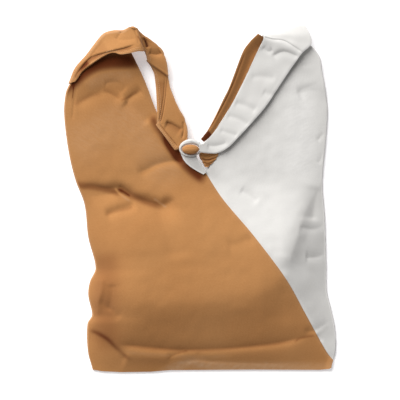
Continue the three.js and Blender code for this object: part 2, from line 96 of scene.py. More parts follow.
# Folds of the front cloth, as rows of (depth, left, right, power, path). A fold runs along a path of
# (across, rise) and sinks the cloth by its depth times fold_scale, so one with a depth below nothing
# is a ridge. Left and right are its widths to the two sides of its path, in millimetres, and a low
# power makes it sharp.
fold_scale = 0.0016
fold_limit = 0.016  # the deepest that all folds together go
most_sunk = 0.8  # the most of its swell that a fold takes from the cloth
hold_power = 0.6  # how soon the cloth can hold a fold, in from its edges
uneven = [(0.0006, 0.045, 3), (0.0003, 0.012, 4)]  # the cloth's bumps: (depth, size, seed)
tan_folds = [
    (-5, 20, 26, 1.9, [(-0.48, 0.845), (-0.43, 0.872), (-0.37, 0.897), (-0.3, 0.915), (-0.24, 0.922),
                       (-0.19, 0.928)]),
    (1.8, 14, 8, 1.5, [(-0.47, 0.764), (-0.426, 0.782), (-0.386, 0.799), (-0.353, 0.805),
                       (-0.316, 0.796), (-0.279, 0.779)]),
    (1.8, 8, 6, 1.5, [(-0.279, 0.779), (-0.242, 0.796), (-0.209, 0.81)]),
    (1.5, 14, 8, 1.6, [(-0.279, 0.779), (-0.235, 0.753), (-0.183, 0.713)]),
    (1, 6, 6, 1.6, [(-0.353, 0.822), (-0.308, 0.828), (-0.272, 0.805)]),
    (6, 9, 17, 1.7, [(-0.452, 0.534), (-0.404, 0.526), (-0.349, 0.52), (-0.301, 0.523),
                     (-0.272, 0.514), (-0.235, 0.497), (-0.183, 0.486), (-0.139, 0.477),
                     (-0.11, 0.486), (-0.081, 0.5)]),
    (2, 3, 3, 1.3, [(-0.301, 0.532), (-0.279, 0.523), (-0.253, 0.506)]),
    (3, 7, 7, 1.8, [(-0.353, 0.448), (-0.308, 0.463), (-0.268, 0.471), (-0.235, 0.483)]),
    (2, 9, 6, 1.4, [(-0.235, 0.569), (-0.198, 0.58), (-0.161, 0.595), (-0.125, 0.603), (-0.088, 0.606),
                    (-0.058, 0.603)]),
    (1, 20, 10, 1.8, [(-0.143, 0.483), (-0.136, 0.437), (-0.11, 0.379), (-0.088, 0.316)]),
    (0.9, 8, 10, 1.8, [(0.096, 0.362), (0.133, 0.368), (0.169, 0.379), (0.199, 0.385)]),
    (-3.5, 60, 34, 2, [(-0.44, 0.28), (-0.301, 0.236), (-0.147, 0.2), (0.019, 0.207), (0.155, 0.213),
                       (0.25, 0.256), (0.37, 0.318)]),
    (4, 10, 5, 1.3, [(-0.308, 0.08), (-0.257, 0.078), (-0.183, 0.072), (-0.092, 0.066), (0, 0.066),
                     (0.092, 0.069), (0.184, 0.075), (0.276, 0.083), (0.35, 0.095), (0.419, 0.112)]),
    (3.5, 8, 20, 1.6, [(-0.415, 0.121), (-0.382, 0.106), (-0.349, 0.089), (-0.319, 0.069),
                       (-0.29, 0.043), (-0.264, 0.032)]),
    (1.2, 4, 3, 1.4, [(-0.117, 0.04), (-0.088, 0.052), (-0.058, 0.063)]),
    (-1.5, 10, 8, 1.8, [(-0.294, 0.046), (-0.183, 0.043), (-0.11, 0.034)]),
    (1, 5, 5, 1.5, [(-0.014, 0.057), (0.019, 0.034), (0.056, 0.017)]),
    (1.5, 6, 3, 1.4, [(-0.073, 0.014), (-0.036, 0.029), (-0.007, 0.032), (0.056, 0.026), (0.184, 0.02),
                      (0.442, 0.017)]),
    (-2.5, 4, 8, 1.5, [(-0.356, 0.282), (-0.36, 0.236), (-0.371, 0.207), (-0.375, 0.155)]),
    (1.5, 8, 6, 1.5, [(-0.323, 0.256), (-0.323, 0.218), (-0.338, 0.172)]),
    (1, 6, 6, 1.6, [(-0.371, 0.207), (-0.331, 0.184), (-0.286, 0.155)]),
    (1, 2.5, 2.5, 1.6, [(-0.459, 0.833), (-0.463, 0.782), (-0.47, 0.718)]),
    (1.2, 2.5, 2.5, 1.6, [(-0.422, 0.529), (-0.43, 0.486)])]
white_folds = [
    (-2.5, 10, 25, 1.6, [(0.456, 0.557), (0.412, 0.506), (0.379, 0.451), (0.357, 0.394),
                         (0.335, 0.345), (0.32, 0.287)]),
    (2.5, 8, 12, 1.6, [(0.438, 0.534), (0.419, 0.48), (0.412, 0.431)]),
    (1.5, 4, 6, 1.5, [(0.361, 0.417), (0.412, 0.411), (0.46, 0.42)]),
    (2.2, 7, 5, 1.4, [(0.383, 0.33), (0.423, 0.33), (0.467, 0.339)]),
    (2, 6, 5, 1.4, [(0.383, 0.121), (0.412, 0.118), (0.442, 0.129), (0.478, 0.147)]),
    (1.4, 3, 3, 1.5, [(0.431, 0.109), (0.449, 0.089)]),
    (1.2, 3, 4, 1.5, [(0.431, 0.664), (0.456, 0.687)]),
    (1.2, 3, 4, 1.5, [(0.434, 0.598), (0.456, 0.626)]),
    (1.2, 3, 4, 1.5, [(0.442, 0.549), (0.46, 0.578)]),
    (0.8, 6, 5, 1.5, [(0.147, 0.523), (0.177, 0.509), (0.214, 0.486)]),
    (1.2, 5, 4, 1.5, [(0.368, 0.882), (0.401, 0.891), (0.445, 0.899)]),
    (1.6, 6, 14, 1.6, [(0.353, 0.799), (0.405, 0.816), (0.475, 0.825)])]

# Painted shade on the tan cloth: darker in its creases, under the strap, beside the knot and low
# down. The rows are like those of a fold, and a depth is a share of the full change of colour.
tan_painted_shade = [
    (0.4, 2.4, 1.3, 2, [(-0.294, 0.776), (-0.268, 0.787), (-0.246, 0.797), (-0.224, 0.807)]),
    (0.22, 5, 1.2, 2, [(-0.36, 0.81), (-0.338, 0.805), (-0.316, 0.795), (-0.29, 0.78)]),
    (0.3, 5, 2, 1.8, [(-0.323, 0.083), (-0.22, 0.072), (-0.11, 0.065), (0.037, 0.063), (0.166, 0.072),
                      (0.276, 0.08), (0.386, 0.095)]),
    (0.45, 3.5, 3, 2, [(-0.419, 0.124), (-0.375, 0.112), (-0.338, 0.095), (-0.308, 0.072),
                       (-0.279, 0.052), (-0.25, 0.032)]),
    (0.35, 2, 1.5, 2, [(-0.125, 0.034), (-0.095, 0.049), (-0.066, 0.057), (-0.04, 0.063)]),
    (0.4, 2.5, 1.5, 2, [(0.346, 0.086), (0.368, 0.098), (0.394, 0.102), (0.427, 0.106)]),
    (0.42, 22, 20, 2.6, [(-0.353, 0.362), (-0.345, 0.287), (-0.349, 0.207), (-0.349, 0.135),
                         (-0.338, 0.04)]),
    (1, 14, 11, 4, [(-0.529, 0.79), (-0.478, 0.83), (-0.419, 0.865), (-0.378, 0.882), (-0.331, 0.889),
                    (-0.275, 0.891), (-0.202, 0.894), (-0.11, 0.897)]),
    (0.08, 56, 70, 3, [(-0.5, 0.11), (-0.2, 0.11), (0.1, 0.12), (0.3, 0.15), (0.5, 0.2)]),
    (0.85, 6, 7, 1.8, [(-0.183, 0.747), (-0.161, 0.707), (-0.128, 0.67), (-0.095, 0.635),
                       (-0.058, 0.601)]),
    (1, 8, 7.5, 2.6, [(-0.136, 0.687), (-0.106, 0.647), (-0.081, 0.615), (-0.047, 0.589),
                      (-0.011, 0.566), (0.03, 0.543)]),
    (0.6, 1, 1, 2, [(-0.463, 0.839), (-0.465, 0.81), (-0.47, 0.782)]),
    (0.62, 6, 5, 2.6, [(-0.481, 0.546), (-0.441, 0.536), (-0.397, 0.532), (-0.353, 0.526),
                       (-0.316, 0.519), (-0.283, 0.506)]),
    (0.58, 5.5, 6, 3, [(-0.305, 0.532), (-0.275, 0.517), (-0.235, 0.503), (-0.183, 0.486),
                       (-0.125, 0.477)]),
    (0.45, 1.6, 1.6, 2, [(-0.305, 0.529), (-0.279, 0.517), (-0.253, 0.503)]),
    (0.22, 3, 2.5, 2, [(-0.353, 0.451), (-0.316, 0.46), (-0.268, 0.468), (-0.242, 0.474)]),
    (0.25, 3, 3, 2, [(-0.228, 0.563), (-0.183, 0.58), (-0.139, 0.595), (-0.088, 0.601)]),
    (0.25, 4, 4, 2, [(-0.467, 0.764), (-0.433, 0.782), (-0.397, 0.796), (-0.356, 0.799)])]

# Painted light on the tan cloth: lighter beside its creases, high on its front and along the bottom
# edge.
tan_painted_light = [
    (0.6, 1.6, 1.6, 2, [(-0.316, 0.532), (-0.297, 0.514), (-0.275, 0.5), (-0.253, 0.489)]),
    (0.8, 1.3, 1.3, 2, [(-0.172, 0.5), (-0.15, 0.489), (-0.121, 0.471)]),
    (0.25, 3.5, 4, 2, [(-0.323, 0.063), (-0.183, 0.052), (0, 0.043), (0.129, 0.046)]),
    (0.3, 22, 36, 2.4, [(-0.514, 0.638), (-0.397, 0.69), (-0.275, 0.73), (-0.147, 0.638),
                        (-0.055, 0.523)]),
    (0.28, 10, 10, 2, [(-0.426, 0.816), (-0.367, 0.842), (-0.301, 0.853), (-0.228, 0.848)]),
    (0.9, 8, 8, 2.5, [(-0.2, -0.03), (-0.06, 0.018), (-0.02, 0.02), (0.05, 0.012), (0.2, 0.008),
                      (0.6, 0.006)])]

# How far the bottom edge is drawn up, in millimetres at shares of the width.
hem_at = [-0.42, -0.395, -0.36, -0.29, -0.18, -0.11, 0.2, 0.44, 0.475, 0.5]
hem_up = [6.0, 3.5, 1.2, 0.0, 0.6, 3.0, 3.8, 3.2, 4.5, 9.0]


def smooth(value, low, high):
    t = np.clip((value - low) / (high - low), 0.0, 1.0)
    return t * t * (3.0 - 2.0 * t)


def y_of(rise):
    return (rise - 0.5) * bag_length


def x_on(outline, rise):
    """The x of an outline at each rise, on a smooth curve through its points."""
    at = np.array([row[0] for row in outline])
    across = np.array([row[1] for row in outline])
    before = np.maximum(np.arange(len(at)) - 1, 0)
    after = np.minimum(np.arange(len(at)) + 1, len(at) - 1)
    slope = (across[after] - across[before]) / (at[after] - at[before])
    i = np.clip(np.searchsorted(at, rise) - 1, 0, len(at) - 2)
    span = at[i + 1] - at[i]
    t = np.clip((rise - at[i]) / span, 0.0, 1.0)
    return bag_width * (
        across[i] * (1 + 2 * t) * (1 - t) ** 2 + slope[i] * span * t * (1 - t) ** 2
        + across[i + 1] * t * t * (3 - 2 * t) + slope[i + 1] * span * t * t * (t - 1))


def back_height(rise):
    """The middle of the back cloth, which lies on the table and, at the peaks, on the straps."""
    climb = strap_thickness + lay_gap
    return 0.5 * canvas_thickness + climb * smooth(rise, strap_rise - strap_climb, strap_rise)


def turn_radius(rise):
    """The radius of the side folds, which close to a flat seam at the bottom edge."""
    closed = (canvas_thickness + lay_gap) / 2
    return closed + (fold_radius - closed) * smooth(rise * bag_length, 0.0, fold_open_length)


def fold_centre(side, rise):
    """The x of the centre of the side fold's turn, on the left (-1) or right (+1)."""
    edge = x_on(left_side if side < 0 else right_side, rise)
    return edge - side * (turn_radius(rise) + canvas_thickness / 2)


def through(points, steps):
    """A smooth line through points, with that many steps between two of them."""
    points = np.array(points, float)
    padded = np.vstack([2 * points[0] - points[1], points, 2 * points[-1] - points[-2]])
    share = np.linspace(0, 1, steps, endpoint=False)[:, None]
    line = []
    for a, b, c, d in zip(padded, padded[1:], padded[2:], padded[3:]):
        line.append(0.5 * (2 * b + (c - a) * share + (2 * a - 5 * b + 4 * c - d) * share ** 2
                           + (3 * b - a - 3 * c + d) * share ** 3))
    return np.vstack(line + [points[-1:]])


def ripple(x, y, size, seed):
    """Smooth random values from -1 to 1, with bumps of that size."""
    tiles = 64
    start_across = 31.7
    start_up = 27.3
    dice = np.random.RandomState(seed)
    table = dice.uniform(-1, 1, (tiles, tiles))
    u = x / size + start_across
    v = y / size + start_up
    i = np.floor(u).astype(int)
    j = np.floor(v).astype(int)
    right = smooth(u - i, 0, 1)
    up = smooth(v - j, 0, 1)

    def pick(a, b):
        return table[a % tiles, b % tiles]

    low = pick(i, j) * (1 - right) + pick(i + 1, j) * right
    high = pick(i, j + 1) * (1 - right) + pick(i + 1, j + 1) * right
    return low * (1 - up) + high * up


def pressed(x, y, rows):
    """What the rows of a table add up to at each place: a row's whole depth on its path, less and
    less beside it, and nothing at its ends."""
    steps = 4
    end_share = 0.16
    total = np.zeros(np.shape(x))
    for depth, left, right, power, path in rows:
        line = through([(across * bag_width, y_of(rise)) for across, rise in path], steps)
        nearest = np.full(np.shape(x), np.inf)
        side = np.zeros(np.shape(x))
        along = np.zeros(np.shape(x))
        for n, (start, end) in enumerate(zip(line, line[1:])):
            run = end - start
            share = np.clip(((x - start[0]) * run[0] + (y - start[1]) * run[1]) / (run @ run), 0, 1)
            dx = x - start[0] - share * run[0]
            dy = y - start[1] - share * run[1]
            distance = np.hypot(dx, dy)
            closer = distance < nearest
            nearest = np.where(closer, distance, nearest)
            side = np.where(closer, run[0] * dy - run[1] * dx, side)
            along = np.where(closer, (n + share) / (len(line) - 1), along)
        width = np.where(side > 0, left, right) / 1000
        ends = smooth(along, 0, end_share) * smooth(1 - along, 0, end_share)
        total += depth * ends * np.exp(-((nearest / width) ** power))
    return total


def eased(share):
    """A share that grows to 1 and stops there with a soft bend."""
    left = 1 - share
    return 1 - (left + np.sqrt(left * left + level_bend)) / 2


def front_form(x, y):
    """The unwrinkled front cloth: its lowest height, how far it swells above that, and how much
    of a fold it can take. It swells in from the folds and sinks to the mouth."""
    rise = np.clip(y / bag_length + 0.5, 0, 1)
    to_right = fold_centre(1, rise) - x
    inset = np.maximum(0, np.minimum(x - fold_centre(-1, rise), to_right))
    low_right = smooth(to_right, right_far, right_near) * smooth(rise, right_high, right_low)
    round_in = 1 - (1 - np.clip(inset / side_slope["length"], 0, 1)) ** side_slope["power"]
    straight_in = 1 - (1 - eased(inset / right_slope["length"])) ** right_slope["power"]
    from_side = round_in + (straight_in - round_in) * low_right
    slope_length = np.interp(x / bag_width, slope_at, slope_lengths)
    from_bottom = np.maximum(0, 1 - (1 - eased(rise * bag_length / slope_length)) ** bottom_power)
    crest = body_height + (mouth_height - body_height) * smooth(rise, mouth_fall_from, v_rise)
    crest = crest + (peak_height - crest) * smooth(rise, v_rise, peak_fall_to)
    base = back_height(rise) + 2 * turn_radius(rise)
    share = np.maximum(0, from_side * from_bottom)
    return base, np.maximum(0, crest - base) * share, share ** hold_power


def front_height(x, y):
    """The middle of the front cloth, with its folds and the small bumps of well-used cloth."""
    base, puff, hold = front_form(x, y)
    sunk = fold_scale * pressed(x, y, tan_folds + white_folds)
    for depth, size, seed in uneven:
        sunk = sunk + depth * ripple(x, y, size, seed)
    sunk = fold_limit * np.tanh(sunk / fold_limit)
    return base + puff - np.minimum(sunk * hold, most_sunk * puff)


def make_piece(name, points, faces, weave_at):
    """A piece from its points and faces. It keeps where each point lies on the weave."""
    mesh = bpy.data.meshes.new(name)
    mesh.from_pydata(points.tolist(), [], faces)
    corners = np.zeros(len(mesh.loops), int)
    mesh.loops.foreach_get("vertex_index", corners)
    mesh.uv_layers.new(name="weave").data.foreach_set("uv", weave_at[corners].ravel())
    mesh.shade_smooth()
    piece = bpy.data.objects.new(name, mesh)
    bpy.context.scene.collection.objects.link(piece)
    return piece


def cloth(name, middle, thickness, weave_at, wear_and_painted_light):
    """A closed wall of cloth from a grid of points on its middle, which keeps a value for its colour:
    above nothing, lighter, at edges paled by use and where light is painted on; below nothing, darker,
    where shade is painted on."""
    rows, columns = middle.shape[:2]
    along = np.gradient(middle, axis=1)
    across = np.gradient(middle, axis=0)
    normal = np.cross(along, across)
    normal /= np.maximum(np.linalg.norm(normal, axis=2, keepdims=True), 1e-12)
    upper = (middle + normal * thickness / 2).reshape(-1, 3)
    lower = (middle - normal * thickness / 2).reshape(-1, 3)
    count = rows * columns
    number = np.arange(count).reshape(rows, columns)
    a, b, c, d = number[:-1, :-1], number[:-1, 1:], number[1:, 1:], number[1:, :-1]
    top = np.stack([a, b, c, d], -1).reshape(-1, 4)
    bottom = np.stack([a, d, c, b], -1).reshape(-1, 4) + count
    rim = np.concatenate([number[0, :], number[1:, -1], number[-1, -2::-1], number[-2:0:-1, 0]])
    after = np.roll(rim, -1)
    edge = np.stack([rim, rim + count, after + count, after], -1)
    faces = np.vstack([top, bottom, edge]).tolist()
    piece = make_piece(name, np.vstack([upper, lower]), faces, np.vstack([weave_at.reshape(-1, 2)] * 2))
    worn_and_painted_light = piece.data.attributes.new("wear_and_painted_light", "FLOAT", "POINT")
    worn_and_painted_light.data.foreach_set("value", np.concatenate([wear_and_painted_light.ravel()] * 2))
    piece.data.set_sharp_from_angle(angle=math.radians(60))
    return piece


rows_below_v = 150
rows_above_v = 100
front_columns = 150
back_columns = 16
turn_angles = [70, 45, 20, 0, -20, -45, -70]
front_spread = 1.35  # how much closer the front's columns stand towards the side fold
seam_gap = 0.0005  # between the two cloths, where they meet
seam_slant = 0.8  # the way straight across the seam, as a share of the way along a row
seam_dip = 0.0012  # how far the cloth is drawn down by the seam
seam_dip_width = 0.0025
seam_dip_power = 1.5
seam_dip_rise = 0.1  # the share of the length over which the dip grows, up from the bottom edge
over_lift = 0.0002  # how far the tan corner clears the white fold that it lies on
over_from = 0.006  # how far in from the white fold it begins to rise onto it
over_to = 0.0035  # and how far in it lies on it
clear_of_right = 0.0002  # how far the tan cloth keeps off the right outline
clear_of_left = 0.0008  # and the white one off the left fold
drawn_rise = 0.07  # how far up the bottom edge's drawing is felt, as a share of the length
edge_wear = 0.5
edge_wear_width = 0.002
turn_wear = 0.6


def side_cloth(side, lighter, darker):
    """The grid of one of the two cloths, where its points lie on the weave, and its colour value, with
    pale used edges, painted light and painted shade. A row starts at the seam or mouth in front, goes
    round the side fold and ends behind."""
    outline = left_side if side < 0 else right_side
    mouth = left_mouth if side < 0 else right_mouth
    rise = np.concatenate([np.linspace(0, v_rise, rows_below_v, endpoint=False),
                           np.linspace(v_rise, outline[-1][0], rows_above_v)])
    radius = turn_radius(rise)
    centre = fold_centre(side, rise)
    corner = centre - side * corner_reach
    if side < 0:
        far_side = x_on(right_side, rise) - clear_of_right
    else:
        far_side = fold_centre(-1, rise) + clear_of_left
    inner, outer = (np.maximum, np.minimum) if side < 0 else (np.minimum, np.maximum)
    foot = v_across * bag_width
    seam_share = (x_on(front_seam, rise) - foot) / (x_on(front_seam, 0) - foot)
    behind = foot + (x_on(left_side, 0) - foot) * seam_share
    below = rise < v_rise
    front_edge = np.where(below, x_on(front_seam, rise), x_on(mouth, rise))
    back_edge = np.where(below, behind, x_on(mouth, rise))
    front_x = inner(outer(front_edge, far_side) + side * seam_gap / 2, corner)
    back_x = inner(outer(back_edge, far_side) + side * seam_gap / 2, corner)
    share = 1 - (1 - np.linspace(0, 1, front_columns)) ** front_spread
    x = front_x[:, None] + (centre - front_x)[:, None] * share
    y = y_of(rise)[:, None] + 0 * x
    from_edge = np.abs(x - front_x[:, None]) * seam_slant
    dip = seam_dip * np.exp(-((from_edge / seam_dip_width) ** seam_dip_power))
    z = front_height(x, y) - dip * np.minimum(1, rise / seam_dip_rise)[:, None]
    if side < 0:
        white_fold = fold_centre(1, rise)[:, None]
        on_it = smooth(x, white_fold - over_from, white_fold - over_to)
        z = z + (canvas_thickness + over_lift) * on_it
    turn = np.radians(turn_angles)
    turn_x = centre[:, None] + side * radius[:, None] * np.cos(turn)
    turn_z = (back_height(rise) + radius)[:, None] + radius[:, None] * np.sin(turn)
    back_xs = centre[:, None] + (back_x - centre)[:, None] * np.linspace(0, 1, back_columns)
    back_z = back_height(rise)[:, None] + 0 * back_xs
    xs = np.hstack([x, turn_x, back_xs])
    zs = np.hstack([z, turn_z, back_z])
    ys = y_of(rise)[:, None] + 0 * xs
    hem = np.interp(xs / bag_width, hem_at, hem_up) / 1000
    grid = np.stack([xs, ys + hem * (1 - smooth(rise, 0, drawn_rise))[:, None], zs], -1)
    step = np.hypot(np.diff(xs, axis=1), np.diff(zs, axis=1))
    walked = np.hstack([0 * centre[:, None], np.cumsum(step, axis=1)])
    weave_at = np.stack([walked + front_x[:, None] * -side, ys], -1)
    wear_and_painted_light = np.zeros(xs.shape)
    wear_and_painted_light[:, :front_columns] = edge_wear * np.exp(-from_edge / edge_wear_width)
    # Painted light and painted shade from the lighter and darker tables, added to the pale used edges.
    wear_and_painted_light[:, :front_columns] += pressed(x, y, lighter) - pressed(x, y, darker)
    wear_and_painted_light[:, front_columns:-back_columns] = turn_wear
    if side < 0:
        return grid[:, ::-1], weave_at[:, ::-1], wear_and_painted_light[:, ::-1]
    return grid, weave_at, wear_and_painted_light


def weave_group():
    """A shader group for plain-woven canvas: threads over and under, uneven yarn, dye uneven in tone,
    cloth paler at its used edges, and painted light and painted shade."""
    group = bpy.data.node_groups.new("canvas weave", "ShaderNodeTree")
    face = group.interface
    for label, kind, start in (("Colour", "NodeSocketColor", (0.5, 0.5, 0.5, 1)),
                               ("Shade", "NodeSocketColor", (0.4, 0.4, 0.4, 1)),
                               ("Worn and painted light", "NodeSocketColor", (0.6, 0.6, 0.6, 1)),
                               ("Painted shade", "NodeSocketColor", (0.1, 0.1, 0.1, 1)),
                               ("Threads per metre", "NodeSocketFloat", 900.0)):
        face.new_socket(label, in_out="INPUT", socket_type=kind).default_value = start
    face.new_socket("Colour", in_out="OUTPUT", socket_type="NodeSocketColor")
    face.new_socket("Height", in_out="OUTPUT", socket_type="NodeSocketFloat")
    nodes = group.nodes
    links = group.links
    given = nodes.new("NodeGroupInput")
    made = nodes.new("NodeGroupOutput")
    at = nodes.new("ShaderNodeUVMap")
    at.uv_map = "weave"
    place = nodes.new("ShaderNodeTexCoord")

    def sum_of(operation, a, b=0.0):
        node = nodes.new("ShaderNodeMath")
        node.operation = operation
        for i, value in enumerate((a, b)):
            if isinstance(value, float):
                node.inputs[i].default_value = value
            else:
                links.new(value, node.inputs[i])
        return node.outputs[0]

    def noise(scale, detail, source):
        node = nodes.new("ShaderNodeTexNoise")
        node.inputs["Scale"].default_value = scale
        node.inputs["Detail"].default_value = detail
        links.new(source, node.inputs["Vector"])
        return node.outputs["Fac"]

    parts = nodes.new("ShaderNodeSeparateXYZ")
    links.new(at.outputs["UV"], parts.inputs[0])
    threads = sum_of("MULTIPLY", given.outputs["Threads per metre"], math.pi)
    warp = sum_of("SINE", sum_of("MULTIPLY", parts.outputs["X"], threads))
    weft = sum_of("SINE", sum_of("MULTIPLY", parts.outputs["Y"], threads))
    over = sum_of("MULTIPLY", warp, weft)
    yarn = noise(420.0, 3.0, at.outputs["UV"])
    height = sum_of("ADD", sum_of("MULTIPLY", over, 0.5), yarn)
    links.new(height, made.inputs["Height"])
    dye = noise(9.0, 2.0, place.outputs["Object"])
    tone = sum_of("ADD", sum_of("MULTIPLY", dye, 0.55), sum_of("MULTIPLY", yarn, 0.45))
    tone = sum_of("ADD", tone, sum_of("MULTIPLY", over, 0.05))
    ramp = nodes.new("ShaderNodeMapRange")
    ramp.inputs["From Min"].default_value = 0.3
    ramp.inputs["From Max"].default_value = 0.7
    links.new(tone, ramp.inputs["Value"])
    mix = nodes.new("ShaderNodeMix")
    mix.data_type = "RGBA"
    links.new(ramp.outputs["Result"], mix.inputs["Factor"])
    links.new(given.outputs["Shade"], mix.inputs["A"])
    links.new(given.outputs["Colour"], mix.inputs["B"])
    # Pale used edges and painted light: above nothing, the colour goes in patches towards the lighter
    # one.
    worn_and_painted_light = nodes.new("ShaderNodeAttribute")
    worn_and_painted_light.attribute_name = "wear_and_painted_light"
    rubbed_and_painted_light = nodes.new("ShaderNodeMix")
    rubbed_and_painted_light.data_type = "RGBA"
    patchy = sum_of("MULTIPLY", worn_and_painted_light.outputs["Fac"], noise(160.0, 2.0, at.outputs["UV"]))
    links.new(patchy, rubbed_and_painted_light.inputs["Factor"])
    links.new(mix.outputs["Result"], rubbed_and_painted_light.inputs["A"])
    links.new(given.outputs["Worn and painted light"], rubbed_and_painted_light.inputs["B"])
    # Painted shade: where the colour value is below nothing, the colour goes towards the shade colour.
    painted_shade = nodes.new("ShaderNodeMix")
    painted_shade.data_type = "RGBA"
    links.new(sum_of("MULTIPLY", worn_and_painted_light.outputs["Fac"], -1.0), painted_shade.inputs["Factor"])
    links.new(rubbed_and_painted_light.outputs["Result"], painted_shade.inputs["A"])
    links.new(given.outputs["Painted shade"], painted_shade.inputs["B"])
    links.new(painted_shade.outputs["Result"], made.inputs["Colour"])
    return group


weave = weave_group()


def canvas(name, colour, shade, worn_and_painted_light, painted_shade, threads=900.0):
    """A finish of matt cotton canvas."""
    finish = bpy.data.materials.new(name)
    finish.use_nodes = True
    nodes = finish.node_tree.nodes
    links = finish.node_tree.links
    surface = nodes["Principled BSDF"]
    surface.inputs["Roughness"].default_value = 0.88
    surface.inputs["Specular IOR Level"].default_value = 0.12
    surface.inputs["Sheen Weight"].default_value = 0.05
    surface.inputs["Sheen Roughness"].default_value = 0.6
    woven = nodes.new("ShaderNodeGroup")
    woven.node_tree = weave
    woven.inputs["Colour"].default_value = (*colour, 1)
    woven.inputs["Shade"].default_value = (*shade, 1)
    woven.inputs["Worn and painted light"].default_value = (*worn_and_painted_light, 1)
    woven.inputs["Painted shade"].default_value = (*painted_shade, 1)
    woven.inputs["Threads per metre"].default_value = threads
    links.new(woven.outputs["Colour"], surface.inputs["Base Color"])
    bump = nodes.new("ShaderNodeBump")
    bump.inputs["Strength"].default_value = 0.35
    bump.inputs["Distance"].default_value = 0.0003
    links.new(woven.outputs["Height"], bump.inputs["Height"])
    links.new(bump.outputs["Normal"], surface.inputs["Normal"])
    return finish


# Its colours: the dye, a darker dye, pale used edges and painted light, and painted shade.
tan = canvas("tan canvas", (0.455, 0.222, 0.082), (0.388, 0.175, 0.058), (0.52, 0.33, 0.20),
             (0.110, 0.022, 0.003))

grid, weave_at, wear_and_painted_light = side_cloth(-1, tan_painted_light, tan_painted_shade)
tan_body = cloth("tan_body_cloth", grid, canvas_thickness, weave_at, wear_and_painted_light)
tan_body.data.materials.append(tan)
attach(tan_body, "root")
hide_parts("tan_body")


# The white cloth of the bag: the same canvas undyed, over the right of the front, round the right
# side fold and over most of the back. It is sewn to the tan cloth in front and behind.
# Its colours: the undyed cloth, a darker tone, pale used edges and painted light, and painted shade.
white = canvas("white canvas", (0.665, 0.655, 0.64), (0.62, 0.61, 0.595), (0.84, 0.83, 0.82),
               (0.39, 0.378, 0.365))

# Painted shade on the white cloth: greyer beside its strap, under the knot and along its folds. The
# row with a depth below nothing is painted light, lighter.
white_painted_shade_and_light = [
    (-0.6, 20, 34, 2.4, [(0.309, 0.868), (0.368, 0.767), (0.383, 0.638), (0.368, 0.537)]),
    (0.28, 26, 6, 1.6, [(0.39, 0.92), (0.339, 0.868), (0.283, 0.79), (0.21, 0.718), (0.136, 0.672),
                        (0.052, 0.621)]),
    (0.3, 9, 9, 2, [(0.011, 0.609), (0.037, 0.58), (0.063, 0.552)]),
    (0.36, 12, 14, 2.2, [(0.464, 0.552), (0.442, 0.506), (0.405, 0.46), (0.379, 0.408), (0.357, 0.351),
                         (0.331, 0.299)]),
    (0.22, 14, 10, 2, [(0.449, 0.422), (0.412, 0.336), (0.397, 0.279)]),
    (0.27, 26, 26, 2.6, [(0.353, 0.264), (0.39, 0.207), (0.434, 0.144), (0.464, 0.078)]),
    (0.3, 3, 4, 2, [(0.408, 0.101), (0.442, 0.115), (0.475, 0.138)])]

grid, weave_at, wear_and_painted_light = side_cloth(1, [], white_painted_shade_and_light)
white_body = cloth("white_body_cloth", grid, canvas_thickness, weave_at, wear_and_painted_light)
white_body.data.materials.append(white)
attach(white_body, "root")
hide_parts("white_body")


# The tan strap: a strip of the tan canvas folded lengthwise and hemmed with two rows of stitches.
# It is turned round the left peak's edge, pinched at the top, and runs down beside the mouth into
# the knot.
strap_width = 0.040
lift_height = 0.006  # what a lift of 1 in the rows stands for
slope_gap = 0.00015  # a little more room over the sloping front cloth
tuck_columns = 5
curl_width = 0.016  # how far in from the outer edge a curl reaches
edge_roll = 0.0007  # how far the inner edge rolls down
edge_roll_width = 0.0012
strap_uneven = (0.0004, 0.014, 8)  # the strap's bumps: depth, size, seed
inner_wear = 0.8  # how much lighter the inner edge is worn
inner_wear_width = 0.0015
outer_wear = 0.5
outer_wear_width = 0.002

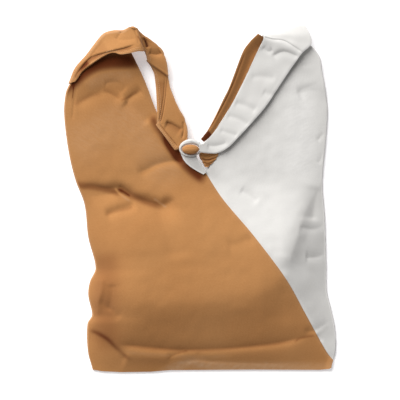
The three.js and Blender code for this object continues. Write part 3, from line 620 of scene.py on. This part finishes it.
# Rows of (across, rise, heading, width, tuck, layer, outer lift, inner lift): the place of the strap's
# outer edge, which way the cloth runs from it in degrees, how wide it is and how far it is tucked
# under, as shares of strap_width, whether it lies on the front cloth (1) or the table (0), and how
# far its two edges stand up, in lift_heights.
tan_strap_rows = [
    (-0.481, 0.828, 20, 0.24, 0.2, 1, 0, 0.1),
    (-0.474, 0.842, 2, 0.25, 0.25, 1, 0, 0.2),
    (-0.456, 0.874, -22, 0.3, 0.35, 1, 0, 0.5),
    (-0.416, 0.91, -32, 0.42, 0.4, 1, 0, 1.0),
    (-0.383, 0.944, -45, 0.6, 0.4, 1, 0.2, 1.6),
    (-0.354, 0.97, -60, 0.8, 0.4, 1, 0.5, 2.1),
    (-0.319, 0.979, -72, 0.92, 0.36, 1, 1.0, 2.4),
    (-0.281, 0.98, -77, 0.88, 0.3, 1, 1.6, 2.6),
    (-0.253, 0.989, -74, 0.93, 0, 1, 2.0, 2.6),
    (-0.234, 0.986, -73, 0.89, 0, 1, 2.0, 2.4),
    (-0.229, 0.983, -73, 0.72, 0, 1, 0.3, 0.2),
    (-0.206, 0.966, -85, 0.62, 0, 1, 0.2, 0),
    (-0.182, 0.954, -107, 0.56, 0, 1, 0.3, 0),
    (-0.157, 0.939, -135, 0.56, 0, 1, 0.4, 0.1),
    (-0.136, 0.918, -163, 0.62, 0, 1, 0.4, 0.15),
    (-0.123, 0.888, -192, 0.73, 0, 1, 0.3, 0.2),
    (-0.118, 0.862, -210, 0.86, 0, 1, 0.1, 0.2),
    (-0.117, 0.852, -215, 0.94, 0, 1, 0, 0.1),
    (-0.117, 0.847, -215, 0.79, 0, 1, -0.9, -0.75),
    (-0.113, 0.83, -212, 0.64, 0, 1, -0.9, -1.0),
    (-0.108, 0.812, -190, 0.54, 0, 1, -0.7, -0.8),
    (-0.093, 0.783, -175, 0.65, 0, 1, -0.3, 0.1),
    (-0.074, 0.752, -177, 0.82, 0, 1, -0.2, 0.6),
    (-0.058, 0.730, -168, 1.01, 0, 1, -0.2, 0.9),
    (-0.056, 0.724, -168, 1.04, 0, 1, -0.2, 0.95),
    (-0.047, 0.701, -163, 0.89, 0, 1, -0.2, 1.1),
    (-0.046, 0.681, -137, 0.70, 0, 1, -0.1, 0.9),
    (-0.046, 0.674, -133, 0.62, 0, 1, -0.1, 0.8),
    (-0.046, 0.667, -132, 0.43, 0, 1, 0.1, 0.4),
    (-0.050, 0.662, -141, 0.32, 0, 1, 0.3, 0.3)]
turned_edge = [(-0.457, 0.85), (-0.409, 0.898), (-0.356, 0.914), (-0.294, 0.925), (-0.231, 0.938)]
outer_hem = [(-0.129, 0.85), (-0.132, 0.81), (-0.136, 0.78), (-0.146, 0.735), (-0.156, 0.71)]
inner_hem = [(-0.121, 0.85), (-0.124, 0.81), (-0.128, 0.78), (-0.138, 0.735), (-0.15, 0.708)]
leaf_crease = [(-0.149, 0.712), (-0.114, 0.678), (-0.079, 0.645)]
strap_folds = [
    (1.5, 0.7, 7, 2.5, turned_edge),
    (1, 0.9, 1.4, 1.8, leaf_crease),
    (0.7, 0.9, 0.9, 2, outer_hem),
    (0.7, 0.9, 0.9, 2, inner_hem),
    (0.9, 3, 3, 1.5, [(-0.286, 0.98), (-0.297, 0.963), (-0.308, 0.951)]),
    (0.5, 3, 3, 1.6, [(-0.308, 0.951), (-0.268, 0.951), (-0.235, 0.954)]),
    (0.7, 1.3, 1.3, 2, [(-0.242, 0.986), (-0.231, 0.96), (-0.222, 0.937)]),
    (3, 3, 2, 1.5, [(-0.209, 0.96), (-0.198, 0.943), (-0.194, 0.928)]),
    (2, 6, 3, 1.5, [(-0.191, 0.917), (-0.161, 0.911), (-0.132, 0.917)]),
    (2.2, 2.5, 8, 1.5, [(-0.128, 0.718), (-0.099, 0.71), (-0.062, 0.693)]),
    (1, 1.8, 1.8, 1.8, [(-0.062, 0.721), (-0.06, 0.695), (-0.066, 0.667)])]

# Painted shade on the tan strap: darker in the pinch, along its hems and on its lower leaf.
strap_painted_shade = [
    (0.45, 0.8, 7.5, 3, turned_edge),
    (0.5, 6, 6, 2.5, [(-0.459, 0.839), (-0.433, 0.868), (-0.404, 0.891)]),
    (1.2, 2.2, 2.2, 2.5, [(-0.204, 0.954), (-0.198, 0.945), (-0.191, 0.93)]),
    (0.5, 0.8, 0.8, 2, [(-0.231, 0.966), (-0.217, 0.945), (-0.207, 0.928)]),
    (0.36, 8, 7, 3, [(-0.147, 0.845), (-0.147, 0.805), (-0.154, 0.753), (-0.158, 0.713)]),
    (0.35, 3, 7, 1.8, [(-0.128, 0.716), (-0.099, 0.707), (-0.058, 0.687)]),
    (0.18, 20, 14, 2.5, [(-0.441, 0.851), (-0.386, 0.897), (-0.331, 0.931)]),
    (0.5, 0.8, 0.8, 2, outer_hem),
    (0.5, 0.8, 0.8, 2, inner_hem),
    (0.6, 0.8, 0.8, 2, leaf_crease)]


def strap_grid(rows, thickness, stack, columns, steps, folds=(), curl=0.0):
    """The grid of a strap or tail, where its points lie on the weave, and how pale its edges are from
    use. Stack is what lies between the front cloth and this one, and curl how far its outer edge stands
    up."""
    ground = thickness / 2
    tucked = any(row[4] for row in rows)
    lines = []
    for across, rise, heading, width, tuck, layer, outer, inner in rows:
        spots = []
        if tucked:
            under, turn = ((0, 0), (0.5, outer / 2)) if tuck else ((layer, outer), (layer, outer))
            deepest = max(tuck * strap_width, thickness * 1.01)
            for share in np.linspace(1, 0, tuck_columns, endpoint=False):
                spots.append((thickness + (deepest - thickness) * share, *under))
            spots.append((0, *turn))
        first = thickness if tuck else 0
        for share in np.linspace(0, 1, columns):
            distance = first + (width * strap_width - first) * share
            spots.append((distance, layer, outer + (inner - outer) * share))
        distance, layers, lifts = np.array(spots).T
        x = across * bag_width + distance * math.cos(math.radians(heading))
        y = y_of(rise) + distance * math.sin(math.radians(heading))
        laid = front_height(x, y) + canvas_thickness / 2 + slope_gap + lay_gap + stack
        z = ground + (laid + thickness / 2 - ground) * layers + lifts * lift_height
        lines.append(np.stack([x, y, np.maximum(ground, z)], -1))
    lines = np.array(lines)
    grid = np.stack([through(lines[:, c], steps) for c in range(lines.shape[1])], 1)
    x, y = grid[..., 0], grid[..., 1]
    edge = grid.shape[1] - columns
    on_top = np.arange(grid.shape[1]) >= edge
    past_edge = np.arange(grid.shape[1]) > edge
    reach = np.cumsum(np.linalg.norm(np.diff(grid, axis=1, prepend=grid[:, :1]), axis=2), axis=1)
    to_inner = reach[:, -1:] - reach
    from_outer = reach - reach[:, edge:edge + 1]
    grid[..., 2] -= fold_scale * pressed(x, y, folds) * past_edge
    depth, size, seed = strap_uneven
    grid[..., 2] += depth * ripple(x, y, size, seed) * past_edge
    grid[..., 2] -= edge_roll * np.exp(-((to_inner / edge_roll_width) ** 2)) * on_top
    grid[..., 2] += curl * (1 - smooth(from_outer, 0, curl_width)) * on_top
    grid[..., 2] = np.maximum(ground, grid[..., 2])
    length = np.cumsum(np.linalg.norm(np.diff(grid, axis=0, prepend=grid[:1]), axis=2), axis=0)
    length = np.repeat(length.mean(axis=1, keepdims=True), grid.shape[1], axis=1)
    wear_and_painted_light = inner_wear * np.exp(-to_inner / inner_wear_width) * on_top
    wear_and_painted_light = wear_and_painted_light + outer_wear * (np.abs(from_outer) < outer_wear_width)
    return grid, np.stack([reach, length], -1), np.clip(wear_and_painted_light, 0, 1)


grid, weave_at, wear_and_painted_light = strap_grid(tan_strap_rows, strap_thickness, stack=0, columns=40, steps=12,
                                  folds=strap_folds)
# Painted shade in the strap's pinch, along its hems and on its lower leaf.
wear_and_painted_light = wear_and_painted_light - pressed(grid[..., 0], grid[..., 1], strap_painted_shade)
tan_strap = cloth("tan_strap_cloth", grid, strap_thickness, weave_at, wear_and_painted_light)
tan_strap.data.materials.append(tan)
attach(tan_strap, "root")
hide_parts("tan_strap")


def stitch_nodes():
    """Geometry nodes that lay stitches along a line, one after another."""
    group = bpy.data.node_groups.new("stitches", "GeometryNodeTree")
    face = group.interface
    face.new_socket("Line", in_out="INPUT", socket_type="NodeSocketGeometry")
    face.new_socket("Spacing", in_out="INPUT", socket_type="NodeSocketFloat").default_value = 0.003
    face.new_socket("Length", in_out="INPUT", socket_type="NodeSocketFloat").default_value = 0.001
    face.new_socket("Radius", in_out="INPUT", socket_type="NodeSocketFloat").default_value = 0.0003
    face.new_socket("Finish", in_out="INPUT", socket_type="NodeSocketMaterial")
    face.new_socket("Stitches", in_out="OUTPUT", socket_type="NodeSocketGeometry")
    nodes = group.nodes
    links = group.links
    given = nodes.new("NodeGroupInput")
    made = nodes.new("NodeGroupOutput")
    spread = nodes.new("GeometryNodeResampleCurve")
    spread.mode = "LENGTH"
    links.new(given.outputs["Line"], spread.inputs["Curve"])
    links.new(given.outputs["Spacing"], spread.inputs["Length"])
    bead = nodes.new("GeometryNodeMeshIcoSphere")
    bead.inputs["Radius"].default_value = 1.0
    bead.inputs["Subdivisions"].default_value = 2
    size = nodes.new("ShaderNodeCombineXYZ")
    links.new(given.outputs["Radius"], size.inputs["X"])
    links.new(given.outputs["Radius"], size.inputs["Y"])
    links.new(given.outputs["Length"], size.inputs["Z"])
    way = nodes.new("GeometryNodeInputTangent")
    turned = nodes.new("FunctionNodeAlignRotationToVector")
    turned.axis = "Z"
    links.new(way.outputs["Tangent"], turned.inputs["Vector"])
    placed = nodes.new("GeometryNodeInstanceOnPoints")
    links.new(spread.outputs["Curve"], placed.inputs["Points"])
    links.new(bead.outputs["Mesh"], placed.inputs["Instance"])
    links.new(turned.outputs["Rotation"], placed.inputs["Rotation"])
    links.new(size.outputs["Vector"], placed.inputs["Scale"])
    real = nodes.new("GeometryNodeRealizeInstances")
    links.new(placed.outputs["Instances"], real.inputs["Geometry"])
    finish = nodes.new("GeometryNodeSetMaterial")
    links.new(real.outputs["Geometry"], finish.inputs["Geometry"])
    links.new(given.outputs["Finish"], finish.inputs["Material"])
    links.new(finish.outputs["Geometry"], made.inputs["Stitches"])
    return group


stitching = stitch_nodes()


def stitches(name, lines, finish):
    """One piece of stitches along several lines of points."""
    curve = bpy.data.curves.new(name + "_line", "CURVE")
    curve.dimensions = "3D"
    for line in lines:
        spline = curve.splines.new("POLY")
        spline.points.add(len(line) - 1)
        spline.points.foreach_set("co", np.hstack([line, np.ones((len(line), 1))]).ravel())
    guide = bpy.data.objects.new(name + "_line", curve)
    bpy.context.scene.collection.objects.link(guide)
    laid = guide.modifiers.new("stitches", "NODES")
    laid.node_group = stitching
    inputs = {item.name: item.identifier for item in stitching.interface.items_tree
              if item.in_out == "INPUT"}
    laid[inputs["Spacing"]] = 0.0030
    laid[inputs["Length"]] = 0.0011
    laid[inputs["Radius"]] = 0.00032
    laid[inputs["Finish"]] = finish
    view = bpy.context.evaluated_depsgraph_get()
    mesh = bpy.data.meshes.new_from_object(guide.evaluated_get(view))
    mesh.name = name
    bpy.data.objects.remove(guide)
    piece = bpy.data.objects.new(name, mesh)
    bpy.context.scene.collection.objects.link(piece)
    return piece


def along_edge(grid, distance, lift):
    """The line on a strap's upper face at a distance from its inner edge."""
    step = np.linalg.norm(np.diff(grid[:, ::-1], axis=1), axis=2)
    walked = np.hstack([np.zeros((len(grid), 1)), np.cumsum(step, axis=1)])
    backward = grid[:, ::-1]
    line = [[np.interp(distance, far, row[:, k]) for k in range(3)]
            for far, row in zip(walked, backward)]
    return np.array(line) + [0, 0, lift]


thread = bpy.data.materials.new("tan thread")
thread.use_nodes = True
thread_surface = thread.node_tree.nodes["Principled BSDF"]
thread_surface.inputs["Base Color"].default_value = (0.6, 0.36, 0.19, 1)
thread_surface.inputs["Roughness"].default_value = 0.7
on_face = strap_thickness / 2 + 0.0001
stitched = slice(30, -8)  # the grid rows between which the hem is in sight
hem_lines = [along_edge(grid, from_inner, on_face)[stitched] for from_inner in (0.0026, 0.0052)]
tan_stitches = stitches("tan_strap_stitches", hem_lines, thread)
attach(tan_stitches, "root")


# The white strap and its tan facing. The white canvas is folded over the top of the right peak and
# laid down to the knot. The facing is the tan cloth sewn to its inner face, seen along its edge. The
# rows have the same columns as the tan strap's.
facing_thickness = 0.0015
white_strap_rows = [
    (0.262, 0.905, 9, 1.3, 0, 0, 0, 0),
    (0.236, 0.955, 10, 1.42, 0, 0, 0, 0),
    (0.229, 0.968, 13, 1.55, 0, 0.12, 0, 0),
    (0.228, 0.971, 13, 1.57, 0, 0.55, 0, 0),
    (0.229, 0.968, 1, 1.72, 0, 0.95, 0.2, 0.1),
    (0.231, 0.966, -10, 1.78, 0, 1, 0.5, 0.3),
    (0.235, 0.96, -21, 1.5, 0, 1, 0.9, 0.6),
    (0.222, 0.936, -21, 1.42, 0, 1, 0.6, 0.5),
    (0.206, 0.911, -21, 1.36, 0, 1, 0.3, 0.4),
    (0.177, 0.862, -24, 1.24, 0, 1, 0.1, 0.3),
    (0.14, 0.802, -25, 1.12, 0, 1, 0, 0.3),
    (0.103, 0.75, -23, 0.98, 0, 1, 0, 0.25),
    (0.067, 0.706, -23, 0.86, 0, 1, 0.1, 0.25),
    (0.04, 0.678, -32, 0.76, 0, 1, 0.2, 0.3),
    (0.022, 0.664, -45, 0.62, 0, 1, 0.4, 0.1),
    (0.01, 0.656, -58, 0.42, 0, 1, 1.0, 0.7),
    (-0.004, 0.654, -82, 0.3, 0, 1, 1.35, 1.3)]
facing_rows = [
    (0.213, 0.97, -28, 0.3, 0, 1, 0.3, 0.1),
    (0.199, 0.96, -42, 0.8, 0, 1, 0.1, 0),
    (0.182, 0.946, -34, 1.05, 0, 1, -0.1, 0),
    (0.157, 0.918, -32, 1.1, 0, 1, -0.1, 0),
    (0.127, 0.857, -25, 0.94, 0, 1, -0.1, 0),
    (0.108, 0.817, -25, 0.86, 0, 1, -0.1, 0),
    (0.08, 0.773, -26, 0.75, 0, 1, -0.1, 0),
    (0.057, 0.733, -25, 0.64, 0, 1, -0.1, 0),
    (0.036, 0.702, -27, 0.56, 0, 1, -0.1, 0),
    (0.016, 0.68, -34, 0.5, 0, 1, 0, 0),
    (0.004, 0.668, -42, 0.4, 0, 1, 0, 0)]
facing_hem = [(0.166, 0.922), (0.144, 0.876), (0.107, 0.803), (0.05, 0.719), (0.015, 0.684)]
facing_folds = [(0.9, 1.6, 0.7, 1.8, facing_hem)]
# Painted shade on the facing: darker along its hem and where it goes under the knot.
facing_painted_shade = [
    (0.5, 1, 0.8, 2, facing_hem),
    (0.9, 8, 8, 3, [(0.041, 0.687), (0.022, 0.677), (-0.003, 0.67)])]
white_strap_folds = [
    (0.8, 1, 2.5, 1.6, [(0.21, 0.968), (0.262, 0.955), (0.305, 0.951), (0.34, 0.936), (0.39, 0.91)]),
    (1.2, 3, 6, 1.5, [(0.261, 0.905), (0.309, 0.92), (0.368, 0.902)]),
    (0.8, 4, 4, 1.6, [(0.228, 0.934), (0.25, 0.92), (0.272, 0.925)]),
    (0.6, 5, 5, 1.6, [(0.184, 0.845), (0.228, 0.848), (0.28, 0.839)]),
    (0.7, 4, 5, 1.6, [(0.228, 0.805), (0.265, 0.796), (0.302, 0.802)]),
    (0.8, 5, 5, 1.6, [(0.125, 0.773), (0.169, 0.764), (0.21, 0.747)]),
    (0.7, 4, 5, 1.6, [(0.096, 0.736), (0.14, 0.727), (0.184, 0.707)]),
    (0.7, 4, 4, 1.6, [(0.07, 0.695), (0.111, 0.684), (0.14, 0.678)]),
    (0.8, 4, 5, 1.6, [(0.022, 0.649), (0.059, 0.649), (0.103, 0.658)])]
# Painted shade on the white strap: a little greyer along its length.
white_strap_painted_shade = [
    (0.17, 24, 24, 2.5, [(-0.036, 0.624), (0.015, 0.647), (0.074, 0.681), (0.166, 0.782),
                         (0.258, 0.897)])]

under_white = facing_thickness + lay_gap
grid, weave_at, wear_and_painted_light = strap_grid(white_strap_rows, strap_thickness, stack=under_white, columns=44,
                                  steps=12, folds=white_strap_folds)
# Painted shade on the white strap.
wear_and_painted_light = wear_and_painted_light - pressed(grid[..., 0], grid[..., 1], white_strap_painted_shade)
white_strap = cloth("white_strap_cloth", grid, strap_thickness, weave_at, wear_and_painted_light)
white_strap.data.materials.append(white)
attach(white_strap, "root")
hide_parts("white_strap")

grid, weave_at, wear_and_painted_light = strap_grid(facing_rows, facing_thickness, stack=0, columns=30, steps=14,
                                  folds=facing_folds, curl=0.006)
facing_shade = 0.26  # painted shade, how much darker the facing is, deep beside the mouth
wear_and_painted_light = wear_and_painted_light * 0.5 - facing_shade - pressed(grid[..., 0], grid[..., 1], facing_painted_shade)
facing = cloth("white_strap_facing_cloth", grid, facing_thickness, weave_at, wear_and_painted_light)
facing.data.materials.append(tan)
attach(facing, "root")
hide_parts("white_strap_facing")


# The free ends. The straps' short ends, of the same two cloths, come out below the knot and droop to
# the front cloth. Nothing holds them but the knot. The rows have the straps' columns.
tan_tail_rows = [
    (0.0, 0.631, 3, 0.62, 0, 1, 0, 0),
    (-0.003, 0.621, 3, 0.69, 0, 1, 0, 0),
    (0.008, 0.606, 2, 0.46, 0, 1, 0, 0),
    (0.017, 0.593, 5, 0.2, 0, 1, 0, 0),
    (0.022, 0.588, 5, 0.08, 0, 1, 0, 0)]
tail_folds = [
    (1, 0.7, 1.6, 1.6, [(-0.012, 0.618), (0.01, 0.612), (0.035, 0.61), (0.075, 0.622)]),
    (0.9, 0.7, 1.6, 1.6, [(-0.004, 0.608), (0.018, 0.601), (0.036, 0.6), (0.062, 0.612)]),
    (0.8, 0.7, 1.4, 1.6, [(0.004, 0.599), (0.02, 0.593), (0.045, 0.597)])]
white_tail_rows = [
    (-0.072, 0.632, 0, 0.6, 0, 1, 0, 0),
    (-0.066, 0.621, 4, 0.52, 0, 1, 0, 0),
    (-0.055, 0.605, 12, 0.46, 0, 1, -0.05, -0.05),
    (-0.036, 0.591, 16, 0.4, 0, 1, -0.15, -0.15),
    (-0.011, 0.578, 22, 0.27, 0, 1, -0.25, -0.3),
    (0.013, 0.568, 34, 0.12, 0, 1, -0.33, -0.4)]

grid, weave_at, wear_and_painted_light = strap_grid(tan_tail_rows, facing_thickness, stack=0, columns=30, steps=16,
                                  folds=tail_folds)
# Painted shade in the tail's folds.
wear_and_painted_light = wear_and_painted_light - pressed(grid[..., 0], grid[..., 1], tail_folds)
tan_tail = cloth("tan_tail_cloth", grid, facing_thickness, weave_at, wear_and_painted_light)
tan_tail.data.materials.append(tan)
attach(tan_tail, "root")
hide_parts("tan_tail")

grid, weave_at, wear_and_painted_light = strap_grid(white_tail_rows, strap_thickness, stack=under_white, columns=24,
                                  steps=14)
tail_shade = 0.3  # the white end lies in the knot's shade
white_tail = cloth("white_tail_cloth", grid, strap_thickness, weave_at, wear_and_painted_light - tail_shade)
white_tail.data.materials.append(white)
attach(white_tail, "root")
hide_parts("white_tail")


# The knot. The white strap is rolled round the tan one, so that a ring of white cloth holds a tight
# tan bulge. The ring is slim at its left and full at its upper right, where the strap enters.
knot_x = -0.034 * bag_width  # the middle of the eye
knot_y = y_of(0.639)
eye_width = 0.026
eye_length = 0.0154
roll_radius = 0.0045
ring_radius = 0.020  # of the weave's run round the ring
on_cloth = float(front_height(np.array(knot_x), np.array(knot_y)))
knot_z = on_cloth + canvas_thickness / 2 + slope_gap + under_white + strap_thickness + 2 * lay_gap


def ring(name, around_steps, section_steps, shape):
    """A closed ring of cloth. Shape gives the place of each point, from its angles round the ring
    and round the roll."""
    around = np.linspace(0, 2 * math.pi, around_steps, endpoint=False)[:, None]
    section = np.linspace(0, 2 * math.pi, section_steps, endpoint=False)[None, :]
    around, section = np.broadcast_arrays(around, section)
    points = shape(around, section).reshape(-1, 3)
    number = np.arange(around_steps * section_steps).reshape(around_steps, section_steps)
    next_around = np.roll(number, -1, axis=0)
    next_section = np.roll(number, -1, axis=1)
    both = np.roll(next_around, -1, axis=1)
    faces = np.stack([number, next_around, both, next_section], -1).reshape(-1, 4).tolist()
    weave_at = np.stack([around * ring_radius, section * roll_radius], -1).reshape(-1, 2)
    return make_piece(name, points, faces, weave_at)


# How thick the rolled cloth is round the eye, from the right and on over the top, and the creases
# that wind round it.
ring_angles = [0, 45, 90, 135, 180, 225, 270, 315, 360]
ring_shares = [0.36, 0.7, 0.85, 0.62, 0.4, 0.36, 0.32, 0.3, 0.36]
creases_in_roll = 1.5
creases_round_eye = 1.2
roll_crease_depth = 0.10
roll_crease_power = 6


def rolled(around, section):
    """The rolled cloth of the ring at its angles round the eye and round the roll."""
    thicker = np.interp(np.degrees(around), ring_angles, ring_shares)
    winding = np.sin(creases_in_roll * section + creases_round_eye * around)
    reach = roll_radius * (1 - roll_crease_depth * np.abs(winding) ** roll_crease_power)
    outward = (roll_radius + reach * np.cos(section)) * thicker
    x = (eye_width / 2 + outward) * np.cos(around)
    y = (eye_length / 2 + outward) * np.sin(around)
    z = (roll_radius + reach * np.sin(section)) * thicker
    return np.stack([knot_x + x, knot_y + y, knot_z + z], -1)


knot_loop = ring("knot_loop_cloth", around_steps=180, section_steps=48, shape=rolled)
knot_loop.data.materials.append(white)
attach(knot_loop, "root")
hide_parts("knot_loop")

# The tan bulge in the ring, with the cloth's layers curving across it. Its sizes are shares of the
# bulge's own half width, length and height.
core_creases = [dict(at=-0.45, depth=0.055), dict(at=0.35, depth=0.05)]
crease_width = 0.07
crease_bow = 0.35  # how far the creases curve
crease_floor = -0.2  # there are none below this height
core_bumps = 0.02
core_height = roll_radius + 0.0015
around = np.linspace(0, 2 * math.pi, 120, endpoint=False)
down = np.linspace(0.01, math.pi - 0.01, 70)
turn, drop = np.meshgrid(around, down)
x = np.cos(turn) * np.sin(drop)
y = np.sin(turn) * np.sin(drop)
z = np.cos(drop)
bowed = y + crease_bow * x * x
layers = sum(row["depth"] * np.exp(-(((bowed - row["at"]) / crease_width) ** 2))
             for row in core_creases)
swell = 1 - layers * (z > crease_floor) + core_bumps * ripple(x, y, size=0.5, seed=12)
points = np.stack([knot_x + x * (eye_width / 2 - lay_gap),
                   knot_y + y * (eye_length / 2 - lay_gap),
                   knot_z + roll_radius + z * swell * core_height], -1)
number = np.arange(points.shape[0] * points.shape[1]).reshape(points.shape[:2])
after = np.roll(number, -1, axis=1)
faces = np.stack([number[:-1], number[1:], after[1:], after[:-1]], -1).reshape(-1, 4).tolist()
faces.append(number[0].tolist())
faces.append(number[-1][::-1].tolist())
weave_run = np.array([0.012, 0.008])  # of the weave over half the bulge, across and along
weave_at = np.stack([x, y], -1).reshape(-1, 2) * weave_run
knot_core = make_piece("knot_core_cloth", points.reshape(-1, 3), faces, weave_at)
knot_core.data.materials.append(tan)
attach(knot_core, "root")
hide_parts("knot_core")


# The surface the bag lies on, the light and the camera. A plain pale table under a large soft lamp
# beyond the top of the bag, seen from straight above.
bpy.ops.mesh.primitive_plane_add(size=6, location=(0, 0, 0))
table = bpy.context.object
table.name = "table"
paper = bpy.data.materials.new("pale table")
paper.use_nodes = True
paper_surface = paper.node_tree.nodes["Principled BSDF"]
paper_surface.inputs["Base Color"].default_value = (0.97, 0.97, 0.98, 1)
paper_surface.inputs["Roughness"].default_value = 0.9
paper_surface.inputs["Emission Color"].default_value = (0.99, 0.97, 1.0, 1)
paper_surface.inputs["Emission Strength"].default_value = 0.3
table.data.materials.append(paper)

world = bpy.data.worlds.new("room")
world.use_nodes = True
room_light = world.node_tree.nodes["Background"]
room_light.inputs["Color"].default_value = (1.0, 0.995, 0.985, 1)
room_light.inputs["Strength"].default_value = 0.30
bpy.context.scene.world = world

lamp = bpy.data.lights.new("soft lamp", "SUN")
lamp.energy = 4.75
lamp.angle = math.radians(55)
lamp.color = (1.0, 0.99, 0.97)
lamp_aim = Vector((0.446, -0.742, -0.55))  # from beyond the top left down to the bag
lamp_piece = bpy.data.objects.new("soft lamp", lamp)
lamp_piece.location = (-0.4, 1.5, 1.2)
lamp_piece.rotation_euler = lamp_aim.to_track_quat("-Z", "Y").to_euler()
bpy.context.scene.collection.objects.link(lamp_piece)

lens = bpy.data.cameras.new("camera")
lens.lens = 246.9
lens.sensor_width = 36
camera = bpy.data.objects.new("camera", lens)
camera.location = (0.0001, -0.0029, 4.0)
bpy.context.scene.collection.objects.link(camera)
bpy.context.scene.camera = camera
bpy.context.scene.view_settings.view_transform = "Standard"
bpy.context.scene.view_settings.look = "None"
